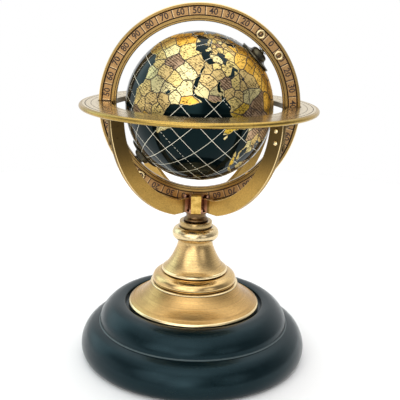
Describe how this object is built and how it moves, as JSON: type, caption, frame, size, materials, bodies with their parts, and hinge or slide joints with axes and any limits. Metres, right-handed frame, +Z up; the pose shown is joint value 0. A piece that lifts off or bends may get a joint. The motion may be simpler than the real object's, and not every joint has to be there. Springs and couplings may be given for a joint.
{
  "type": "desktop globe on stand",
  "caption": "Small world globe turning inside a graduated meridian ring, set in a flat horizon ring on curved arms above a turned brass column and a round stepped wooden base.",
  "frame": {"origin": "on the ground under the stand's vertical axis", "axes": "+Z up, +X towards the side the globe's north pole leans to, in the meridian ring's plane; -Y is the front"},
  "size_m": [0.15, 0.15, 0.2301],
  "materials": {
    "antique_brass": "brushed, aged, lightly lacquered",
    "turned_brass": "turned and polished, dark in the hollows",
    "dark_brass": "darkened satin",
    "dark_bronze": "blackened satin",
    "zinc_steel": "zinc plated",
    "painted_wood": "turned wood, dark satin paint",
    "green_felt": "felt",
    "black_lacquer": "glossy black with a printed gold map",
    "pressed_board": "raw pressed board"
  },
  "bodies": {
    "stand": {"arm_front_left": "antique_brass", "arm_front_right": "antique_brass", "arm_rear_left": "antique_brass", "arm_rear_right": "antique_brass", "base_nut": "zinc_steel", "base_washer": "zinc_steel", "bell_column": "turned_brass", "bracket_front_left": "dark_brass", "bracket_front_right": "dark_brass", "bracket_rear_left": "dark_brass", "bracket_rear_right": "dark_brass", "collar_bead": "turned_brass", "collar_step": "antique_brass", "felt_pad": "green_felt", "foot_plate": "turned_brass", "foot_torus": "turned_brass", "horizon_ring": "antique_brass", "hub": "antique_brass", "neck_spacer": "dark_brass", "ring_screw_front_left": "dark_brass", "ring_screw_front_right": "dark_brass", "ring_screw_rear_left": "dark_brass", "ring_screw_rear_right": "dark_brass", "rivet_front_left_1": "turned_brass", "rivet_front_left_2": "turned_brass", "rivet_front_right_1": "turned_brass", "rivet_front_right_2": "turned_brass", "rivet_rear_left_1": "turned_brass", "rivet_rear_left_2": "turned_brass", "rivet_rear_right_1": "turned_brass", "rivet_rear_right_2": "turned_brass", "tie_rod": "zinc_steel", "wooden_base": "painted_wood"},
    "meridian": {"eyelet_north_1": "turned_brass", "eyelet_north_2": "turned_brass", "eyelet_south_1": "turned_brass", "eyelet_south_2": "turned_brass", "meridian_ring": "antique_brass", "pivot_strap_north": "dark_brass", "pivot_strap_south": "dark_brass", "pole_pin_north": "dark_bronze", "pole_pin_south": "dark_bronze", "pole_washer_north": "dark_bronze", "pole_washer_south": "dark_bronze"},
    "globe": {"axis_tube": "zinc_steel", "equator_band": "pressed_board", "globe_north": "black_lacquer", "globe_south": "black_lacquer", "pole_cap_north": "dark_bronze", "pole_cap_south": "dark_bronze"}
  },
  "joints": [
    {"name": "meridian_tilt", "type": "hinge", "parent": "stand", "child": "meridian", "pos_m": [0, 0, 0.1669], "axis": [0, 1, 0], "range_deg": [-25, 26]},
    {"name": "globe_spin", "type": "hinge", "parent": "meridian", "child": "globe", "pos_m": [0, 0, 0.1669], "axis": [0.7314, 0, 0.682], "continuous": true}
  ]
}
